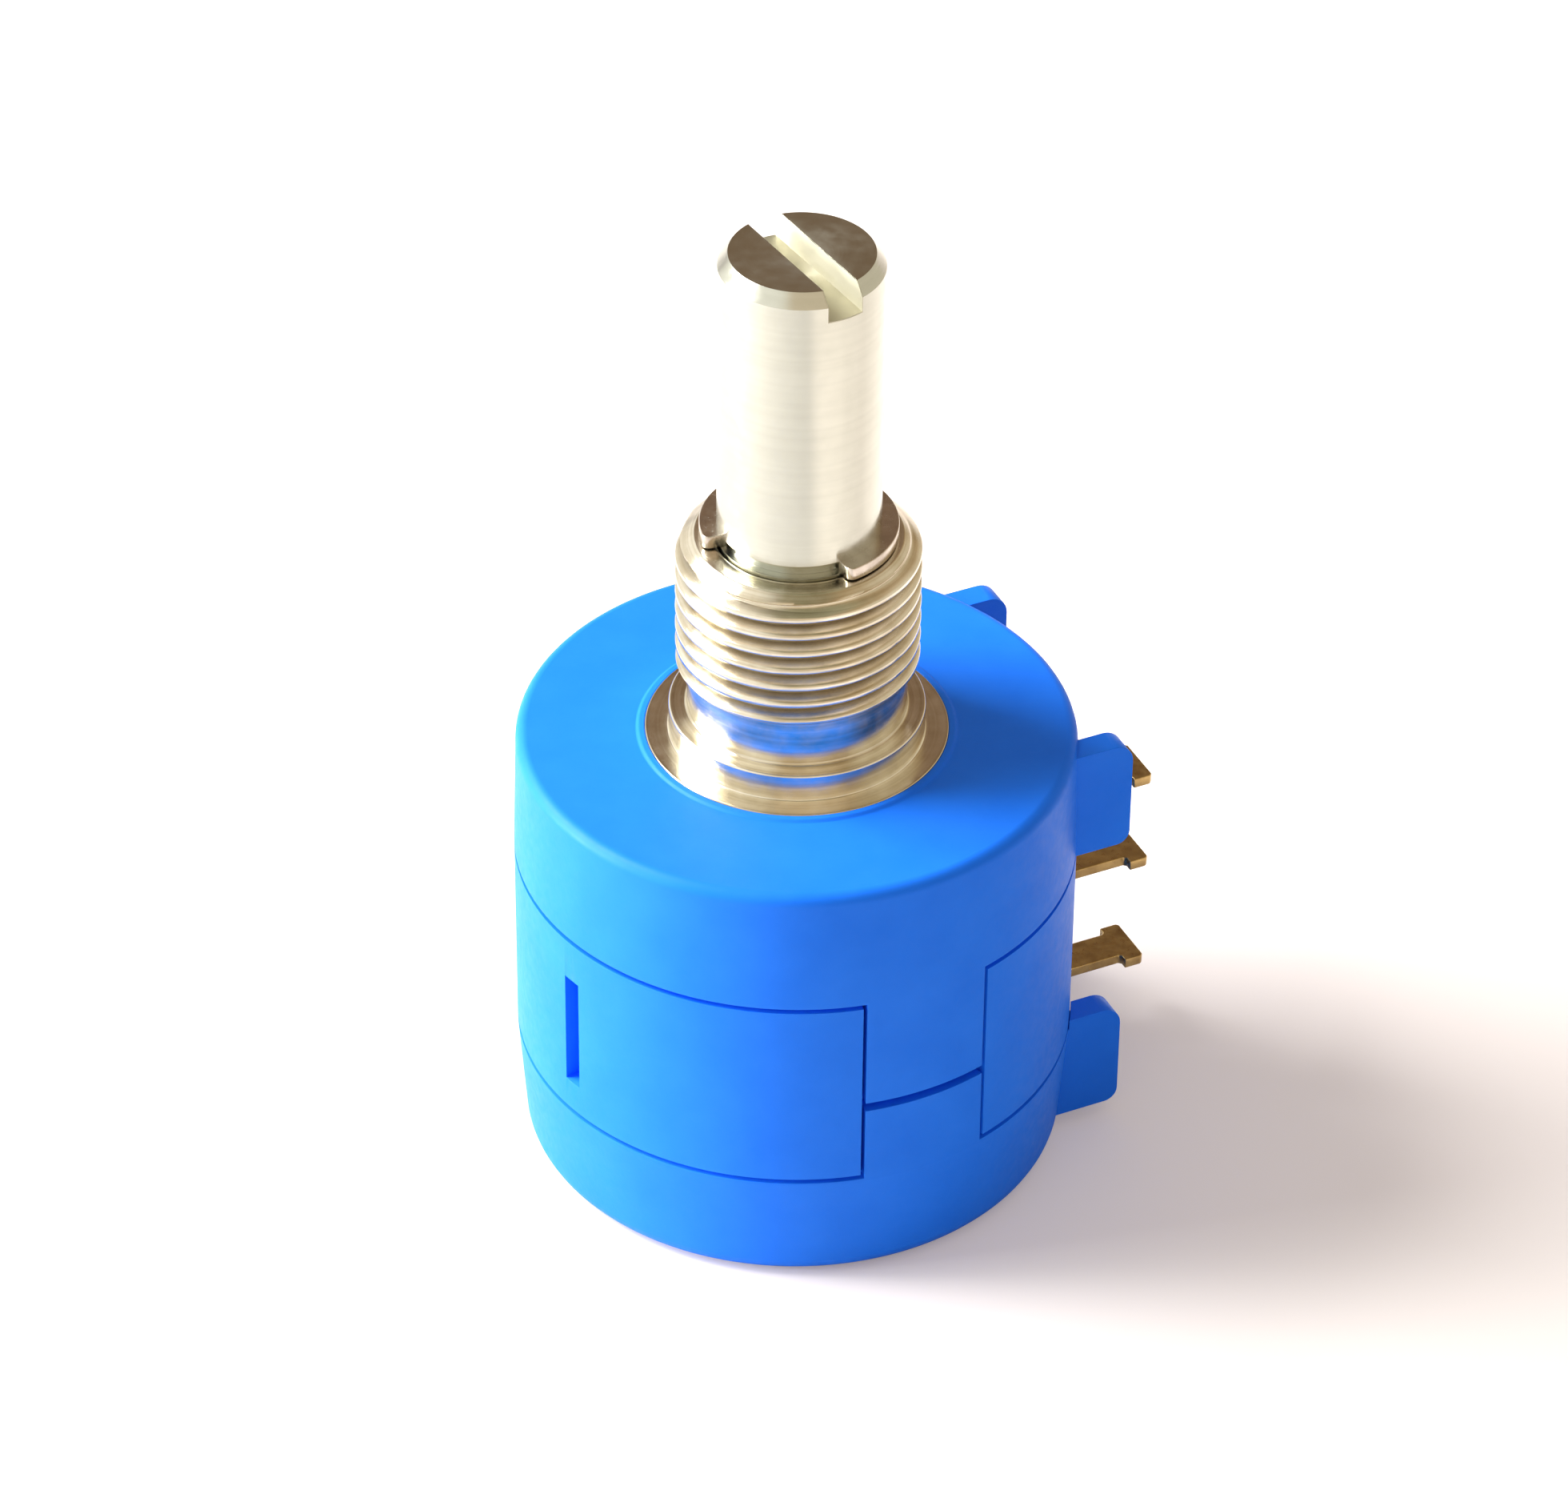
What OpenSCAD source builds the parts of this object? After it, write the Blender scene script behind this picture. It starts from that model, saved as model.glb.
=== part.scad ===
// Ten-turn wirewound potentiometer: 22 mm moulded body, threaded panel bushing,
// slotted shaft, three solder lugs between two pairs of fins.
//
// Millimetres. The rear face lies on Z = 0 and the shaft runs up +Z. The first fin of
// each lid points along +X, and angles are measured from +X towards +Y.

/* [Body] */
// Diameter of the body at its two seams
body_d = 22.3; // [21.6:0.05:24]
// Length of the body from rear face to front face
body_len = 19.05; // [18.6:0.05:22]
// Height of the rear seam
rear_seam_z = 5.13; // [4.4:0.01:5.6]
// Height of the front seam
front_seam_z = 13.65; // [13:0.01:14.4]
// Radial draft of the front lid from its seam to its rim
front_draft = 0.12; // [0.02:0.01:0.25]
// Radial draft of the rear lid from its seam to its base
rear_draft = 0.3; // [0.05:0.01:0.45]
// Rounding of the front lid's rim
rim_round = 0.45; // [0.2:0.05:0.7]
// Rounding of the rear lid's base edge
base_round = 0.9; // [0.3:0.05:1.1]
// Thickness of the front lid's face
face_t = 1.7; // [1.4:0.05:2]
// Thickness of the rear lid's floor
floor_t = 1.7; // [1.4:0.05:2]
// Wall of the lids' skirts
skirt_t = 0.75; // [0.6:0.05:0.8]
// Wall of the element tube inside the skirts
tube_t = 0.65; // [0.55:0.05:0.8]
// Bevel on each moulded edge at a seam
seam_bevel = 0.13; // [0.05:0.01:0.2]

/* [Seam tabs] */
// Direction of the middle of the tabs that key the lids to the band
tab_az = -62; // [-80:1:-45]
// Angle that the tabs span
tab_span = 28.3; // [20:0.1:36]
// Height at which the two tabs meet
tab_joint_z = 8.63; // [7.5:0.01:10.5]
// Gap between the two tabs
tab_gap = 0.28; // [0.1:0.01:0.5]
// Gap down each side of the tabs
tab_side_gap = 0.09; // [0.04:0.01:0.15]

/* [Band slot] */
// Direction of the narrow slot in the band
slot_az = -141.2; // [-160:0.1:-110]
// Width of the slot in the band
slot_w = 0.85; // [0.5:0.05:1.5]
// Lower end of the slot in the band
slot_bottom_z = 6.6; // [6.2:0.05:7.5]
// Height of the slot in the band
slot_h = 5.15; // [3:0.05:5.5]
// Depth of the slot in the band
slot_depth = 0.5; // [0.2:0.05:0.6]

/* [Fins] */
// Distance between the middles of a lid's two fins
fin_spacing = 11; // [10:0.1:12.4]
// Thickness of a fin
fin_t = 1.1; // [0.8:0.05:1.4]
// Reach of a fin past the body's radius, along the terminals
fin_reach = 0.6; // [0.2:0.05:2]
// Height of the front lid's fins
front_fin_h = 4.85; // [4:0.05:5.1]
// Height at which the rear lid's fins start
rear_fin_z = 0.65; // [0:0.05:0.8]
// Height of the rear lid's fins, which pass the seam
rear_fin_h = 4.8; // [4:0.05:5]
// Gap between a fin and the band, and the bevel of its lid's seam
fin_gap = 0.04; // [0.02:0.01:0.3]
// Rounding of a fin's upper outer corner
fin_top_round = 0.85; // [0.3:0.05:1.2]
// Rounding of a fin's lower outer corner
fin_low_round = 0.55; // [0.2:0.05:0.9]

/* [Terminals] */
// Direction in which the terminals point
lug_az = 25.5; // [20:0.5:30]
// Height of the wiper's terminal, in the rear lid
wiper_lug_z = 3.1; // [2.9:0.05:3.3]
// Height of the terminal of the element's rear end
rear_lug_z = 8.2; // [7.8:0.05:9]
// Height of the terminal of the element's front end
front_lug_z = 12.4; // [11.5:0.05:12.6]
// Thickness of a terminal
lug_t = 0.45; // [0.3:0.05:0.5]
// Width of a terminal's stem
lug_stem_w = 1.5; // [1.2:0.05:1.7]
// Width of a terminal's head
lug_head_w = 2.3; // [1.9:0.05:3]
// Length of a terminal's head
lug_head_l = 0.85; // [0.5:0.05:1.4]
// Reach of a terminal beyond the body
lug_reach = 4.3; // [3:0.05:6]
// Bevel of a terminal's two outer corners
lug_nick = 0.12; // [0.05:0.01:0.25]

/* [Bushing] */
// Major diameter of the bushing's thread
thread_d = 9.525; // [9.3:0.025:9.8]
// Length of the bushing from the mounting plane to its end
bushing_len = 7.92; // [6.5:0.01:9.5]
// Pitch of the thread's ridges
thread_pitch = 0.794; // [0.5:0.001:1.1]
// Depth of the thread
thread_depth = 0.45; // [0.2:0.01:0.5]
// Width of the flat along the top of each ridge
thread_land = 0.2; // [0.1:0.01:0.3]
// Bevel at the end of the thread, across the radius
thread_bevel = 0.72; // [0.3:0.01:0.9]
// Height of that bevel
thread_bevel_h = 0.55; // [0.3:0.05:0.9]
// Diameter of the plain neck under the thread
neck_d = 8.6; // [8:0.05:8.9]
// Height of the plain neck under the thread
neck_h = 2; // [1:0.05:3]
// Diameter of the boss whose top is the mounting plane
boss_d = 10.06; // [9.9:0.02:11]
// Height of the mounting plane above the body
boss_h = 1.27; // [0.8:0.01:2]
// Diameter of the flange set into the front lid
flange_d = 11.92; // [11.4:0.02:12.6]
// Height of the flange above the body
flange_rise = 0.12; // [0.05:0.01:0.3]
// Depth of the flange's seat in the front lid
flange_seat = 0.75; // [0.5:0.05:1]
// Bevel of the flange's edge
flange_bevel = 0.06; // [0.02:0.01:0.1]
// Bevel of the boss's edge
boss_bevel = 0.08; // [0.02:0.01:0.2]
// Bevel at the mouth of the bushing's bore
bore_bevel = 0.2; // [0.05:0.05:0.4]
// Width of the lid's raised collar round the flange
collar_w = 0.34; // [0.2:0.02:0.6]
// Height of that collar
collar_h = 0.1; // [0.05:0.01:0.25]
// Diameter of the bushing's barrel inside the lid
barrel_d = 9.2; // [8.6:0.1:9.8]

/* [Shaft] */
// Diameter of the shaft
shaft_d = 6.35; // [5.9:0.05:6.5]
// Length of the shaft from the mounting plane
shaft_len = 20.62; // [16:0.01:30]
// Bevel at the shaft's end, across the radius
shaft_bevel = 0.39; // [0.2:0.01:0.6]
// Height of that bevel
shaft_bevel_h = 0.54; // [0.2:0.01:0.8]
// Width of the screwdriver slot
driver_slot_w = 1.45; // [0.8:0.05:1.8]
// Depth of the screwdriver slot
driver_slot_h = 1.15; // [0.8:0.05:2]
// Direction of the screwdriver slot
driver_slot_az = -58.3; // [-90:0.1:90]
// Diameter of the journal at the shaft's rear end
journal_d = 3; // [2.4:0.1:3.4]
// Depth of the two flats that turn the rotor
key_cut = 0.35; // [0.2:0.05:0.5]

/* [Retaining ring] */
// Outer diameter of the retaining ring
ring_d = 7.7; // [7.2:0.05:7.9]
// Thickness of the retaining ring
ring_t = 0.55; // [0.4:0.01:0.7]
// Depth of the ring's groove in the shaft
ring_groove = 0.37; // [0.25:0.01:0.5]
// Direction of the middle of the ring's opening
ring_gap_az = -110; // [-180:0.5:180]
// Angle of the ring's opening
ring_gap = 100; // [40:1:110]

/* [Element] */
// Number of turns of the shaft's travel
turns = 10; // [5:1:10]
// Rise of the element for each turn
pitch = 1.27; // [1.2:0.01:1.3]
// Diameter of the wound element
wire_d = 0.95; // [0.85:0.01:1]
// Angle of the element beyond each end of the travel
overrun = 8; // [7:0.5:10]
// Width of the clip behind each end of the element
clip_w = 0.55; // [0.35:0.05:0.8]
// Height of that clip
clip_h = 0.9; // [0.6:0.05:0.94]

/* [Rotor] */
// Thickness of the floor left under the rear bearing
bearing_floor_t = 0.75; // [0.5:0.05:0.9]
// Height of the rear bearing above the rear lid's floor
bearing_h = 0.75; // [0.7:0.05:1]
// Wall of the rear bearing
bearing_wall = 1; // [0.6:0.1:1.4]
// Diameter of the rotor's end flanges and guide walls
rotor_d = 15; // [14:0.1:15.6]
// Diameter of the rotor's core
core_d = 11.2; // [10.6:0.1:12]
// Thickness of the rotor's end flanges
rotor_flange_t = 0.8; // [0.6:0.05:1.2]
// Width of the channel that guides the carriage
channel_w = 3; // [2.6:0.05:3.4]
// Radius of the channel's floor
channel_floor_r = 4.4; // [4.3:0.05:4.6]
// Thickness of the channel's guide walls
guide_t = 1.1; // [0.8:0.05:1.5]
// Thickness of the thrust washer
washer_t = 0.7; // [0.5:0.05:0.9]
// Outer diameter of the thrust washer
washer_d = 9; // [8:0.1:10]
// Angle of the carriage from its rear stop at which the part stands
rest_turn = 1755; // [0:5:1800]

/* [Carriage] */
// Height of the carriage
carriage_h = 2.2; // [1.9:0.05:2.3]
// Thickness of the two ribs that follow the element
rib_t = 0.2; // [0.14:0.02:0.24]
// Half of the angle that the ribs span
rib_half = 4.5; // [3:0.25:5]
// Length of a rib inside the carriage's face
rib_root = 0.3; // [0.2:0.05:0.5]
// Gap between the ribs' edges and the middle of the element
rib_gap = 0.22; // [0.15:0.01:0.3]
// Gap between the carriage's face and the element
face_gap = 0.18; // [0.1:0.01:0.3]
// Gap between the carriage's back and the channel's floor
back_gap = 0.5; // [0.35:0.05:0.7]

/* [Contacts] */
// Thickness of the springs, ribbons and wiper
strip_t = 0.2; // [0.15:0.01:0.22]
// Width of the springs and ribbons
strip_w = 1.1; // [0.8:0.05:1.2]
// Width of the wiper
wiper_w = 0.9; // [0.6:0.05:1]
// Height of the wiper's foot on the rail
wiper_foot_h = 1.6; // [1:0.1:2]
// Width of the collector rail
rail_w = 1; // [0.7:0.05:1.3]
// Thickness of the collector rail
rail_t = 0.3; // [0.2:0.05:0.4]
// Thickness of the slip ring
slip_t = 0.4; // [0.3:0.05:0.45]
// Width of the slip ring's track
slip_w = 0.95; // [0.7:0.05:1]

/* [Fits] */
// Radial clearance of the shaft in the bushing and of its journal
shaft_clear = 0.04; // [0.02:0.01:0.08]
// Clearance of the carriage in its channel, on each side
guide_clear = 0.05; // [0.02:0.01:0.08]
// Clearance of the tube in the lids' skirts
skirt_clear = 0.05; // [0.02:0.01:0.08]
// Clearance of sliding contacts from their tracks
contact_clear = 0.03; // [0.02:0.01:0.05]
// Depth of a ribbon below the tube's bore
ribbon_inset = 0.05; // [0.02:0.01:0.08]
// End float of the shaft under its ring and over its washer
end_float = 0.05; // [0.03:0.01:0.1]

/* [Hidden] */
$fn = 96;

// Housing
body_r = body_d / 2;
skirt_r = body_r - skirt_t;
tube_r = skirt_r - skirt_clear;
bore_r = tube_r - tube_t;
notch_relief = 0.05;
seam_land = 0.1;
inner_top_z = body_len - face_t;
front_fin_z = front_seam_z + seam_bevel + fin_gap;
rear_fin_free_z = rear_seam_z - seam_bevel - fin_gap;

// Bushing and shaft, from the mounting plane
mount_z = body_len + boss_h;
bushing_top_z = mount_z + bushing_len;
shaft_top_z = mount_z + shaft_len;
shaft_r = shaft_d / 2;
bush_bore_r = shaft_r + shaft_clear;
thread_r = thread_d / 2;
neck_r = neck_d / 2;
thread_flank = 30;
thread_low_z = mount_z + neck_h + (thread_r - neck_r) * tan(thread_flank);
thread_high_z = bushing_top_z - thread_bevel_h;
thread_grooves = floor((thread_high_z - thread_low_z - thread_land) / thread_pitch);
ring_z = bushing_top_z + end_float;
ring_seat_r = shaft_r - ring_groove;

// Element: a wire wound on a core, laid as a helix against the tube's bore
wire_r = wire_d / 2;
helix_r = bore_r - wire_r;
mid_z = (floor_t + inner_top_z) / 2;
travel = 360 * turns;
element_start = lug_az - overrun;
element_span = travel + 2 * overrun;
wire_sides = 8;
rings_per_turn = 36;

// Rotor: held between the thrust washer and the rear bearing
rotor_top_z = inner_top_z - end_float - washer_t;
bearing_top_z = floor_t + bearing_h;
rotor_bottom_z = bearing_top_z + end_float;
rotor_r = rotor_d / 2;
journal_r = journal_d / 2;
journal_gap = 0.1;
journal_bottom_z = bearing_floor_t + journal_gap;
bearing_r = journal_r + shaft_clear;
key_flat = shaft_r - key_cut;
journal_top_z = rotor_bottom_z + rotor_flange_t;

// Carriage: at rest it has turned rest_turn from its rear stop
rest_phi = lug_az + rest_turn;
rest_az = rest_phi % 360;
carriage_z = helix_z(rest_phi - element_start);
crest_r = helix_r - wire_r;
carriage_face_r = crest_r - face_gap;
carriage_back_r = channel_floor_r + back_gap;
carriage_w = channel_w - 2 * guide_clear;
rib_reach_r = helix_r - rib_gap;

// Contacts and lead ribbons, let into the tube's bore
groove_r = bore_r + strip_t + ribbon_inset;
ribbon_r = groove_r - strip_t;
brush_riser_z = wiper_lug_z + strip_w / 2;
lug_tip_r = body_r + lug_reach;
slip_inset = 0.1;
slip_r = channel_floor_r - slip_inset;
brush_bend = 0.5;
brush_top_z = rotor_bottom_z - slip_t - contact_clear;

// Height of the element's centre line, an angle phi along from its rear end
function helix_z(phi) = mid_z + pitch * (phi - element_span / 2) / 360;

// Points of a quarter round about c, from angle a0 to a1
function round_pts(c, r, a0, a1, n = 6) =
    [for (i = [0 : n]) let (a = a0 + (a1 - a0) * i / n) c + r * [cos(a), sin(a)]];

// A wall that runs round the axis from angle a0 to a1
module arc_wall(r0, r1, z0, z1, a0, a1)
    rotate([0, 0, a0]) rotate_extrude(angle = a1 - a0)
        translate([r0, z0]) square([r1 - r0, z1 - z0]);

module ring(r0, r1, z0, z1)
    rotate_extrude() translate([r0, z0]) square([r1 - r0, z1 - z0]);

// A bar that points away from the axis at angle az
module radial_bar(az, r0, r1, w, z0, z1)
    rotate([0, 0, az]) translate([r0, -w / 2, z0]) cube([r1 - r0, w, z1 - z0]);

// A fin beside the terminals and parallel to them: a plate with rounded outer corners,
// rooted in the lid's skirt
module fin(side, z0, h) rotate([0, 0, lug_az]) difference() {
    end_x = body_r + fin_reach;
    translate([0, (side * fin_spacing + fin_t) / 2, 0]) rotate([90, 0, 0])
        linear_extrude(fin_t) polygon(concat(
            [[0, z0 + h], [0, z0]],
            round_pts([end_x - fin_low_round, z0 + fin_low_round], fin_low_round, -90, 0),
            round_pts([end_x - fin_top_round, z0 + h - fin_top_round], fin_top_round, 0, 90)));
    translate([0, 0, -1]) cylinder(r = skirt_r + skirt_t / 3, h = body_len + 2);
}

// What is cut from a lid's long skirt to leave its bevelled edge at the seam and its
// tab: side is 1 where the tab reaches up, and -1 where it reaches down
module beside_tab(seam_z, side) {
    half = tab_span / 2 - tab_side_gap / body_r * 180 / PI;
    far_z = seam_z + side * (body_len / 2);
    rotate([0, 0, tab_az + half]) rotate_extrude(angle = 360 - 2 * half) polygon([
        [skirt_r - 1, seam_z], [skirt_r - 1, far_z], [body_r + 1, far_z],
        [body_r + 1, seam_z - side * (seam_bevel + 1)], [body_r - seam_bevel, seam_z]]);
}

// The slot in the housing's walls that a terminal is pressed through
module lug_slot(z)
    radial_bar(lug_az, bore_r - 1, body_r + 1, lug_stem_w, z - lug_t / 2, z + lug_t / 2);

module front_lid() color("dodgerblue") {
    rim_r = body_r - front_draft;
    flange_r = flange_d / 2;
    collar_r = flange_r + collar_w;
    tab_end_z = tab_joint_z + tab_gap / 2;
    difference() {
        rotate([0, 0, 180]) rotate_extrude() polygon(concat(
            [[skirt_r, inner_top_z], [skirt_r, tab_end_z], [body_r, tab_end_z],
             [body_r, front_seam_z + seam_bevel + seam_land]],
            round_pts([rim_r - rim_round, body_len - rim_round], rim_round, 0, 90),
            [[collar_r, body_len], [collar_r - collar_h, body_len + collar_h],
             [flange_r, body_len + collar_h], [flange_r, body_len - flange_seat],
             [barrel_d / 2, body_len - flange_seat], [barrel_d / 2, inner_top_z]]));
        beside_tab(front_seam_z, -1);
    }
    for (side = [-1, 1]) fin(side, front_fin_z, front_fin_h);
}

module rear_lid() color("dodgerblue") {
    base_r = body_r - rear_draft;
    boss_r = bearing_r + bearing_wall;
    tab_end_z = tab_joint_z - tab_gap / 2;
    difference() {
        rotate([0, 0, 180]) rotate_extrude() polygon(concat(
            [[0, 0]],
            round_pts([base_r - base_round, base_round], base_round, -90, 0),
            [[body_r, rear_seam_z - seam_bevel - seam_land], [body_r, tab_end_z],
             [skirt_r, tab_end_z], [skirt_r, floor_t], [boss_r, floor_t],
             [boss_r, bearing_top_z], [bearing_r, bearing_top_z],
             [bearing_r, bearing_floor_t], [0, bearing_floor_t]]));
        beside_tab(rear_seam_z, 1);
        lug_slot(wiper_lug_z);
        radial_bar(lug_az, slip_r, groove_r, strip_w, floor_t - strip_t, floor_t + 1);
    }
    difference() {
        for (side = [-1, 1]) fin(side, rear_fin_z, rear_fin_h);
        translate([0, 0, rear_fin_free_z]) cylinder(r = body_r + fin_gap, h = body_len);
    }
}

// The tube that holds the element, with a raised band that the lids close on to and a
// notch in the band for their tabs
module housing_band() color("dodgerblue") difference() {
    rotate_extrude() polygon([
        [bore_r, floor_t], [tube_r, floor_t], [tube_r, rear_seam_z],
        [body_r - seam_bevel, rear_seam_z], [body_r, rear_seam_z + seam_bevel],
        [body_r, front_seam_z - seam_bevel], [body_r - seam_bevel, front_seam_z],
        [tube_r, front_seam_z], [tube_r, inner_top_z], [bore_r, inner_top_z]]);
    rotate([0, 0, tab_az - tab_span / 2]) rotate_extrude(angle = tab_span)
        translate([tube_r - notch_relief, rear_seam_z - notch_relief])
            square([body_r, front_seam_z - rear_seam_z + 2 * notch_relief]);
    radial_bar(slot_az, body_r - slot_depth, body_r + 1, slot_w, slot_bottom_z,
        slot_bottom_z + slot_h);
    for (z = [wiper_lug_z, rear_lug_z, front_lug_z]) lug_slot(z);
    front_ribbon_path(bore_r - 1, groove_r);
    rear_ribbon_path(bore_r - 1, groove_r);
    radial_bar(lug_az, bore_r - 1, groove_r, strip_w, floor_t - 1, brush_riser_z);
}

// One groove of the thread, from the flat below it to the flat above it
function groove_pts(z) = let (w = thread_pitch - thread_land)
    [[thread_r, z], [thread_r - thread_depth, z + w / 2], [thread_r, z + w]];

module bushing() color("wheat") {
    flange_r = flange_d / 2;
    flange_z = body_len + flange_rise;
    rotate_extrude() polygon(concat(
        [[bush_bore_r, inner_top_z], [barrel_d / 2, inner_top_z],
         [barrel_d / 2, body_len - flange_seat], [flange_r, body_len - flange_seat],
         [flange_r, flange_z - flange_bevel], [flange_r - flange_bevel, flange_z],
         [boss_d / 2, flange_z], [boss_d / 2, mount_z - boss_bevel],
         [boss_d / 2 - boss_bevel, mount_z], [neck_r, mount_z],
         [neck_r, mount_z + neck_h], [thread_r, thread_low_z]],
        [for (i = [0 : thread_grooves - 1])
            each groove_pts(thread_low_z + thread_land + i * thread_pitch)],
        [[thread_r, thread_high_z], [thread_r - thread_bevel, bushing_top_z],
         [bush_bore_r + bore_bevel, bushing_top_z], [bush_bore_r, bushing_top_z - bore_bevel]]));
}

// The bore that fits the two flats which turn the rotor
module shaft_key(z0, z1) intersection() {
    translate([0, 0, z0]) cylinder(r = shaft_r, h = z1 - z0);
    translate([-key_flat, -shaft_r - 1, z0 - 1]) cube([2 * key_flat, shaft_d + 2, z1 - z0 + 2]);
}

module shaft() color("gainsboro") difference() {
    rotate_extrude() polygon([
        [0, journal_bottom_z], [journal_r, journal_bottom_z], [journal_r, journal_top_z],
        [shaft_r, journal_top_z], [shaft_r, ring_z], [ring_seat_r, ring_z],
        [ring_seat_r, ring_z + ring_t], [shaft_r, ring_z + ring_t],
        [shaft_r, shaft_top_z - shaft_bevel_h], [shaft_r - shaft_bevel, shaft_top_z],
        [0, shaft_top_z]]);
    for (turn = [0, 180]) rotate([0, 0, turn])
        translate([key_flat, -shaft_r, journal_top_z - 1])
            cube([shaft_r, shaft_d, rotor_top_z - journal_top_z + 1]);
    rotate([0, 0, driver_slot_az])
        translate([-shaft_d, -driver_slot_w / 2, shaft_top_z - driver_slot_h])
            cube([2 * shaft_d, driver_slot_w, driver_slot_h + 1]);
}

module retaining_ring() color("slategray")
    arc_wall(ring_seat_r, ring_d / 2, ring_z, ring_z + ring_t,
        ring_gap_az + ring_gap / 2, ring_gap_az - ring_gap / 2 + 360);

// The moulded rotor: core, two end flanges and the two walls that guide the carriage
module rotor() color("ivory") difference() {
    union() {
        translate([0, 0, rotor_bottom_z])
            cylinder(d = core_d, h = rotor_top_z - rotor_bottom_z);
        for (z = [rotor_bottom_z, rotor_top_z - rotor_flange_t])
            translate([0, 0, z]) cylinder(r = rotor_r, h = rotor_flange_t);
        intersection() {
            radial_bar(rest_az, 0, rotor_r, channel_w + 2 * guide_t, rotor_bottom_z, rotor_top_z);
            translate([0, 0, rotor_bottom_z]) cylinder(r = rotor_r, h = rotor_top_z - rotor_bottom_z);
        }
    }
    radial_bar(rest_az, channel_floor_r, rotor_r + 1, channel_w, rotor_bottom_z - 1, rotor_top_z + 1);
    radial_bar(rest_az, channel_floor_r - rail_t, channel_floor_r + 1, rail_w,
        rotor_bottom_z - 1, rotor_top_z + 1);
    translate([0, 0, rotor_bottom_z - 1]) cylinder(r = journal_r, h = rotor_flange_t + 1.5);
    shaft_key(journal_top_z, rotor_top_z + 1);
}

module thrust_washer() color("silver")
    ring(shaft_r, washer_d / 2, rotor_top_z, rotor_top_z + washer_t);

// The wound element, swept along its helix as rings of points
module resistance_element() color("darkgoldenrod") {
    steps = ceil(element_span / 360 * rings_per_turn);
    points = [for (i = [0 : steps], k = [0 : wire_sides - 1])
        let (phi = element_span * i / steps, side = 360 * (k + 0.5) / wire_sides,
             r = helix_r + wire_r * cos(side), az = element_start + phi)
        [r * cos(az), r * sin(az), helix_z(phi) + wire_r * sin(side)]];
    faces = concat(
        [[for (k = [0 : wire_sides - 1]) k]],
        [[for (k = [wire_sides - 1 : -1 : 0]) steps * wire_sides + k]],
        [for (i = [0 : steps - 1], k = [0 : wire_sides - 1])
            let (a = i * wire_sides, b = a + wire_sides, n = (k + 1) % wire_sides)
            [a + k, b + k, b + n, a + n]]);
    polyhedron(points, faces);
}

// The saddle clip that joins one end of the element to its ribbon
module element_clip(phi) {
    z = helix_z(phi);
    rotate([0, 0, element_start + phi]) difference() {
        translate([helix_r, -clip_w / 2, z - clip_h / 2])
            cube([ribbon_r - helix_r, clip_w, clip_h]);
        translate([helix_r, 0, z]) rotate([90, 0, 0])
            cylinder(r = wire_r, h = 2 * clip_w, center = true, $fn = 48);
    }
}

module front_element_clip() color("silver") element_clip(element_span - 1);

module rear_element_clip() color("silver") element_clip(1);

// A strip that follows the tube's wall: an outline in the plane across the terminals,
// kept where it meets the wall between radius r0 and r1
module wall_strip(r0, r1, outline) intersection() {
    ring(r0, r1, floor_t, inner_top_z);
    rotate([0, 0, lug_az]) rotate([90, 0, 90]) linear_extrude(body_d) polygon(outline);
}

// Where a point of the tube's wall lies in that plane, an angle a round from the terminals
function across(a) = bore_r * sin(a);

// Lead ribbon of the element's front end: up from its terminal and across to the clip
module front_ribbon_path(r0, r1) {
    end_z = helix_z(element_span);
    half = strip_w / 2;
    clip_y = across(overrun) + half / 2;
    wall_strip(r0, r1, [
        [-half, front_lug_z - half], [half, front_lug_z - half], [half, end_z - half],
        [clip_y, end_z - half], [clip_y, end_z + half], [-half, end_z + half]]);
}

// Lead ribbon of the element's rear end: down from its terminal, across past the
// brush's riser, and down to the clip
module rear_ribbon_path(r0, r1) {
    across_z = wiper_lug_z + 1.6 * strip_w;
    half = strip_w / 2;
    clip_y = across(-overrun - 0.5);
    wall_strip(r0, r1, [
        [-half, rear_lug_z + half], [-half, across_z + half], [clip_y - half, across_z + half],
        [clip_y - half, helix_z(0) - half], [clip_y + half, helix_z(0) - half],
        [clip_y + half, across_z - half], [half, across_z - half], [half, rear_lug_z + half]]);
}

module front_lead_ribbon() color("silver") front_ribbon_path(ribbon_r, groove_r);

module rear_lead_ribbon() color("silver") rear_ribbon_path(ribbon_r, groove_r);

// A flat solder lug: a stem that ends in a T
module lug(z) color("darkgoldenrod") {
    head_r = lug_tip_r - lug_head_l;
    rotate([0, 0, lug_az]) translate([0, 0, z - lug_t / 2]) linear_extrude(lug_t) polygon([
        [groove_r, -lug_stem_w / 2], [head_r, -lug_stem_w / 2],
        [head_r, -lug_head_w / 2], [lug_tip_r - lug_nick, -lug_head_w / 2],
        [lug_tip_r, -lug_head_w / 2 + lug_nick], [lug_tip_r, lug_head_w / 2 - lug_nick],
        [lug_tip_r - lug_nick, lug_head_w / 2], [head_r, lug_head_w / 2],
        [head_r, lug_stem_w / 2], [groove_r, lug_stem_w / 2]]);
}

module front_terminal() lug(front_lug_z);

module middle_terminal() lug(rear_lug_z);

module rear_terminal() lug(wiper_lug_z);

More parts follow.
